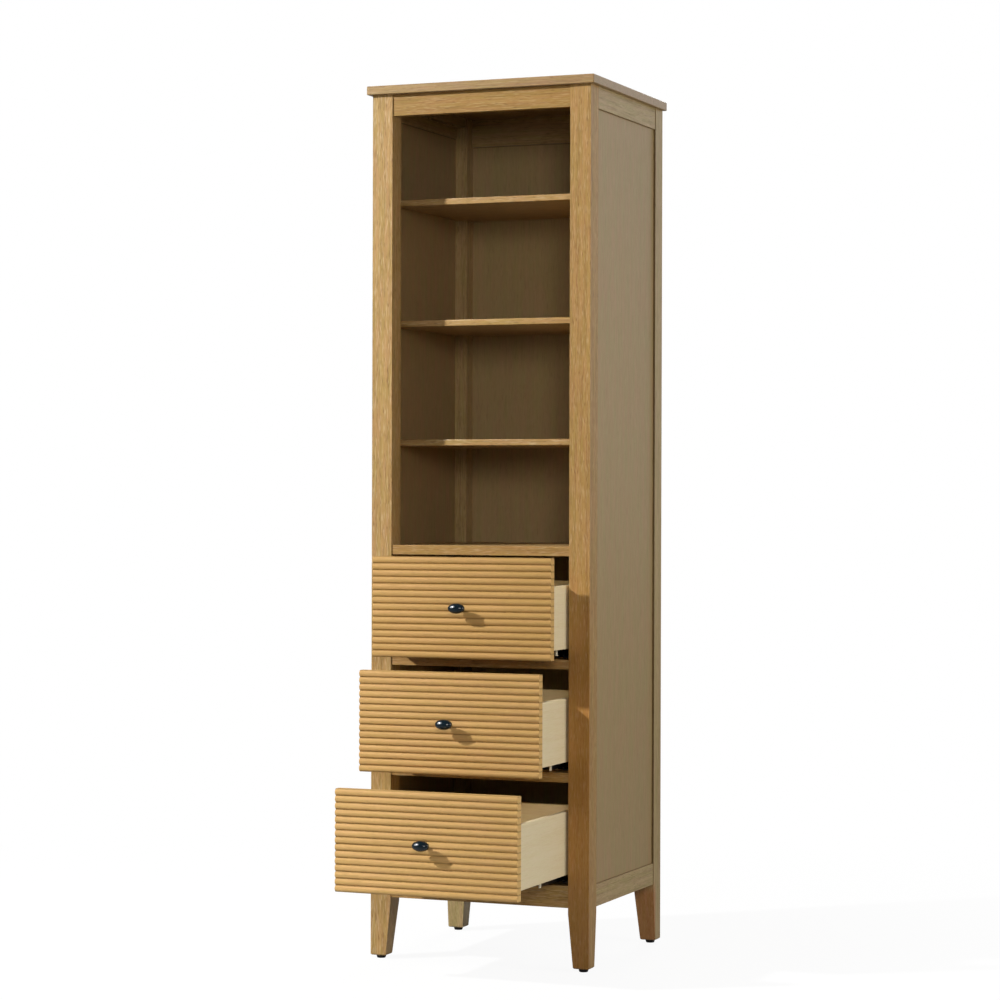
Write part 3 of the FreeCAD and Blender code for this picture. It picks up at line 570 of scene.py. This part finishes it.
@dataclass
class Boards:
    """Side and back panels, shelves, deck, base board and top."""

    panel_edge_mm: float = 0.4
    shelf_edge_mm: float = 0.8
    top_edge_mm: float = 1.5
    line_share: float = 0.6

    def dress_panels(self) -> None:
        """Dresses the panels with upright grain and a dark line along their rails, partly joint and partly
        painted shade.
        """
        for part, finish, low_rail, high_rail in (
                ("side_panel_left", SIDE_PANEL_OAK, "side_rail_left_bottom", "side_rail_left_top"),
                ("side_panel_right", SIDE_PANEL_OAK, "side_rail_right_bottom", "side_rail_right_top"),
                ("back_panel", PANEL_OAK, "back_bottom_rail", "back_top_rail")):
            low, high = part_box(low_rail)[1][2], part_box(high_rail)[0][2]
            rows = Rows(Grain.UPRIGHT, low, high - low)
            # A dark joint line along each rail, deepened as painted shade of the recess
            lines = PaintedShade(f"dark along the rails of {part}", (rows,), share=self.line_share)
            dress(part, finish.material(Grain.UPRIGHT, lines), self.panel_edge_mm)

    def dress_levels(self) -> None:
        """Dresses the level boards along their length, and what holds the top."""
        for shelf in ("shelf_lower", "shelf_middle", "shelf_upper", "fixed_deck"):
            dress(shelf, FRAME_OAK.material(Grain.SIDEWAYS), self.shelf_edge_mm)
        dress("base_board", BASE_PLY.material(Grain.SIDEWAYS), self.panel_edge_mm)
        dress("top_panel", TOP_OAK.material(Grain.SIDEWAYS), self.top_edge_mm)
        dress("top_cleats", CLEAT_PINE.material(Grain.DEEP), self.shelf_edge_mm)
        dress("top_screws", SCREW_STEEL.material())


@dataclass
class Feet:
    """The glides under the legs."""

    def dress(self) -> None:
        """Dresses the glides in black plastic."""
        dress("floor_glides", GLIDE_PLASTIC.material())


@dataclass
class Drawer:
    """One drawer: reeded front, box, knob and screws."""

    layer: Layer
    reeds: int = 15
    # Painted shade in the grooves between the reeds
    groove_shade_reach_mm: float = 2.3
    groove_shade_tone: str = "#67420f"
    groove_shade_share: float = 0.42
    front_edge_mm: float = 0.6
    box_edge_mm: float = 0.8

    def dress(self) -> None:
        """Dresses the front and the box boards along their length, with painted shade in the grooves
        between the reeds.
        """
        stem = f"drawer_{self.layer.value}"
        lows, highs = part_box(f"{stem}_front")
        pitch = (highs[2] - lows[2]) / self.reeds
        rows = Rows(Grain.UPRIGHT, lows[2], pitch, reach_mm=self.groove_shade_reach_mm)
        grooves = PaintedShade("dark in the grooves", (rows,), self.groove_shade_tone, self.groove_shade_share)
        dress(f"{stem}_front", REED_OAK[self.layer].material(Grain.SIDEWAYS, grooves), self.front_edge_mm)
        for board in ("box_front", "back"):
            dress(f"{stem}_{board}", BOX_WOOD.material(Grain.SIDEWAYS), self.box_edge_mm)
        for side in ("left", "right"):
            dress(f"{stem}_side_{side}", BOX_WOOD.material(Grain.DEEP), self.box_edge_mm)
        dress(f"{stem}_bottom", BOX_PLY.material(Grain.SIDEWAYS))
        dress(f"{stem}_knob", KNOB_ENAMEL.material())
        dress(f"{stem}_screws", SCREW_STEEL.material())
        dress(f"{stem}_runners", STEEL.material())


@dataclass
class Slides:
    """The fixed members, their battens and screws, and the middle members with nylon stops."""

    batten_edge_mm: float = 0.8
    stop_ahead_mm: float = 3.5
    stop_grip_mm: float = 4.0
    stop_wall_mm: float = 1.5
    stop_play_mm: float = 0.1
    stop_low_mm: float = -1.0
    stop_high_mm: float = 11.4
    stop_round_mm: float = 0.5

    def dress(self) -> None:
        """Dresses battens, members and screws."""
        dress("slide_battens", BATTEN_WOOD.material(Grain.DEEP), self.batten_edge_mm)
        dress("slide_rails", STEEL.material())
        dress("slide_screws", STEEL.material())
        for layer in Layer:
            dress(f"slide_middle_{layer.value}", STEEL.material())

    def build_stops(self, layer: Layer) -> None:
        """Clips a nylon stop over the front end of each middle member's outer skirt.

        Args:
            layer: The drawer the members belong to.
        """
        lows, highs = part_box(f"slide_middle_{layer.value}")
        outer, end, foot = highs[0], lows[1], lows[2]
        wall, play = self.stop_wall_mm * MM, self.stop_play_mm * MM
        ahead, grip = end - self.stop_ahead_mm * MM, end + self.stop_grip_mm * MM
        hook = [(outer - wall, ahead), (outer + play + wall, ahead), (outer + play + wall, grip),
                (outer + play, grip), (outer + play, end - play), (outer - wall, end - play)]
        low, high = foot + self.stop_low_mm * MM, foot + self.stop_high_mm * MM
        form = bmesh.new()
        for hand in (1, -1):
            base = form.faces.new([form.verts.new((x * hand, y, low)) for x, y in hook])
            raised = bmesh.ops.extrude_face_region(form, geom=[base])["geom"]
            for corner in raised:
                if isinstance(corner, bmesh.types.BMVert):
                    corner.co.z = high
        bmesh.ops.recalc_face_normals(form, faces=form.faces)
        mesh = bpy.data.meshes.new(f"slide_stops_{layer.value}")
        form.to_mesh(mesh)
        form.free()
        mesh.materials.append(CAP_NYLON.material())
        stops = bpy.data.objects.new(mesh.name, mesh)
        bpy.context.collection.objects.link(stops)
        ease = stops.modifiers.new("eased edges", "BEVEL")
        ease.width = self.stop_round_mm * MM
        ease.segments = EDGE_STEPS
        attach(stops, f"slide_{layer.value}")
        LOG.info("built %s", stops.name)


@dataclass(frozen=True)
class Lamp:
    """A round lamp, with its place and width in metres and its power in watts."""

    name: str
    place: Place
    width: float
    power: float
    tint: str = WHITE

    def hang(self, aim: Place) -> None:
        """Hangs the lamp in the room.

        Args:
            aim: The point that it faces, in metres.
        """
        light = bpy.data.lights.new(self.name, "AREA")
        light.shape = "DISK"
        light.size = self.width
        light.energy = self.power
        light.color = linear(self.tint)[:3]
        holder = bpy.data.objects.new(self.name, light)
        holder.location = self.place
        holder.rotation_euler = (Vector(aim) - Vector(self.place)).to_track_quat("-Z", "Y").to_euler()
        bpy.context.collection.objects.link(holder)
        LOG.info("hung %s", self.name)


@dataclass
class Studio:
    """A white room with a lamp from the upper left, softer ones on the other sides, and the camera."""

    focal_pixels: float = 2803.24
    sensor_mm: float = 36.0
    camera_place: Place = (2.2340, -5.5693, 0.9721)
    camera_turn: float = 22.254
    camera_tilt: float = -0.093
    camera_roll: float = 0.163
    floor_reach: float = 30.0
    floor_white: float = 0.93
    floor_fade: Band = (0.6, 2.2)
    sheet_edge: Band = (0.7, 1.5)
    sheet_white: Band = (0.4, 0.12)
    lamp_aim: Place = (0.0, -0.25, 0.9)
    key: Lamp = Lamp("key lamp", (-3.4, -2.8, 3.3), width=0.2, power=308.0)
    front: Lamp = Lamp("front lamp", (2.45, -5.5, 1.95), width=1.3, power=65.0, tint="#fff8f0")
    side: Lamp = Lamp("side lamp", (2.45, -0.3, 1.3), width=1.2, power=23.5)
    back: Lamp = Lamp("back lamp", (-0.5, 4.4, 2.3), width=1.6, power=75.0)
    sky: float = 0.16
    softbox_strength: float = 12.0
    softbox_reach: Band = (0.92, 0.975)
    mirror_dark: float = 0.1
    mirror_wall: float = 0.6
    mirror_wall_edge: Band = (0.3, 0.8)
    mirror_top: float = 1.1
    mirror_top_edge: Band = (0.09, 0.16)
    mirror_floor: float = 0.12

    def mirrored(self, tree: bpy.types.NodeTree) -> bpy.types.NodeSocket:
        """Works out how bright the room is in a mirror, by direction.

        The wall behind the cabinet is white and gets brighter from head height up, the rest of the room
        is dim, and a softbox hangs round the key lamp.

        Args:
            tree: The world's node tree.

        Returns:
            The strength.
        """
        way = add(tree, "TexCoord").outputs["Generated"]
        axes = add(tree, "SeparateXYZ", [way]).outputs
        top = add(tree, "MapRange", [axes["Z"], *self.mirror_top_edge, self.mirror_wall, self.mirror_top])
        wall = add(tree, "MapRange", [axes["Y"], *self.mirror_wall_edge, self.mirror_dark, top.outputs[0]])
        key = (Vector(self.key.place) - Vector(self.lamp_aim)).normalized()
        facing = add(tree, "VectorMath", [way, key], operation="DOT_PRODUCT").outputs["Value"]
        glow = add(tree, "MapRange", [facing, *self.softbox_reach, 0.0, self.softbox_strength])
        return add(tree, "Math", [wall.outputs[0], glow.outputs[0]], operation="ADD").outputs[0]

    def build_sky(self) -> None:
        """Builds the white room: plain white to the eye, dim as a light, and uneven in a mirror."""
        world = bpy.data.worlds.new("white room")
        bpy.context.scene.world = world
        world.use_nodes = True
        tree = world.node_tree
        tree.nodes.clear()
        path = add(tree, "LightPath").outputs
        lit = add(tree, "Background", [linear(WHITE), self.sky]).outputs[0]
        gloss = add(tree, "Background", [linear(WHITE), self.mirrored(tree)]).outputs[0]
        shown = add(tree, "Background", [linear(WHITE), 1.0]).outputs[0]
        lamps = add(tree, "MixShader", [path["Is Glossy Ray"], lit, gloss]).outputs[0]
        seen = add(tree, "Math", [path["Is Camera Ray"], path["Is Transmission Ray"]], operation="MAXIMUM")
        room = add(tree, "MixShader", [seen.outputs[0], lamps, shown]).outputs[0]
        add(tree, "OutputWorld", [room])

    def build_floor(self) -> None:
        """Lays a matt white floor that takes the cabinet's shadow."""
        mesh = bpy.data.meshes.new("floor")
        reach = self.floor_reach
        corners = [(-reach, -reach, 0), (reach, -reach, 0), (reach, reach, 0), (-reach, reach, 0)]
        mesh.from_pydata(corners, [], [(0, 1, 2, 3)])
        floor = bpy.data.objects.new("floor", mesh)
        bpy.context.collection.objects.link(floor)
        material, tree = new_material("matt white floor")
        path = add(tree, "LightPath").outputs
        spot = add(tree, "TexCoord").outputs["Object"]
        away = add(tree, "VectorMath", [spot], operation="LENGTH").outputs["Value"]
        white = add(tree, "BsdfDiffuse", [linear(WHITE)]).outputs[0]
        glow = add(tree, "Emission", [linear(WHITE), 1.0]).outputs[0]
        # To the eye, the shadow fades out a little way from the cabinet, where the lamps give out
        fade = add(tree, "MapRange", [away, *self.floor_fade, self.floor_white, 1.0]).outputs[0]
        pale = add(tree, "MixShader", [fade, white, glow]).outputs[0]
        # For the light it gives back, the floor is a pale sheet that ends a little way from the cabinet
        sheet = add(tree, "MapRange", [away, *self.sheet_edge, *self.sheet_white]).outputs[0]
        plain = add(tree, "BsdfDiffuse", [sheet]).outputs[0]
        shine = add(tree, "Math", [path["Is Glossy Ray"], self.mirror_floor], operation="MULTIPLY")
        faint = add(tree, "MixShader", [shine.outputs[0], plain, glow]).outputs[0]
        both = add(tree, "MixShader", [path["Is Camera Ray"], faint, pale]).outputs[0]
        add(tree, "OutputMaterial", [both])
        mesh.materials.append(material)
        LOG.info("laid %s", floor.name)

    def build_camera(self) -> None:
        """Sets up the camera at the photograph's place and angle."""
        turn, tilt = math.radians(self.camera_turn), math.radians(self.camera_tilt)
        ahead = Vector((-math.sin(turn) * math.cos(tilt), math.cos(turn) * math.cos(tilt), math.sin(tilt)))
        level = Vector((math.cos(turn), math.sin(turn), 0.0))
        upright = level.cross(ahead)
        roll = math.radians(self.camera_roll)
        right = level * math.cos(roll) + upright * math.sin(roll)
        up = upright * math.cos(roll) - level * math.sin(roll)
        lens = bpy.data.cameras.new("camera")
        lens.sensor_width = self.sensor_mm
        lens.lens = self.focal_pixels / IMAGE_PIXELS * self.sensor_mm
        camera = bpy.data.objects.new("camera", lens)
        pose = Matrix((right, up, -ahead)).transposed().to_4x4()
        pose.translation = Vector(self.camera_place)
        camera.matrix_world = pose
        bpy.context.collection.objects.link(camera)
        bpy.context.scene.camera = camera
        LOG.info("set up %s", camera.name)

    def build(self) -> None:
        """Builds the room, the lamps and the camera."""
        self.build_sky()
        self.build_floor()
        for lamp in (self.key, self.front, self.side, self.back):
            lamp.hang(self.lamp_aim)
        self.build_camera()
        bpy.context.scene.view_settings.view_transform = "Standard"


def main() -> None:
    """Builds the cabinet's looks and the studio, in order."""
    logging.basicConfig(level=logging.INFO, format="%(name)s: %(message)s")
    posts = PostFrame()
    posts.dress_posts()
    posts.dress_rails()
    boards = Boards()
    boards.dress_panels()
    boards.dress_levels()
    Feet().dress()
    for layer in Layer:
        Drawer(layer).dress()
    slides = Slides()
    slides.dress()
    for layer in Layer:
        slides.build_stops(layer)
    Studio().build()


if __name__ == "__main__":
    main()
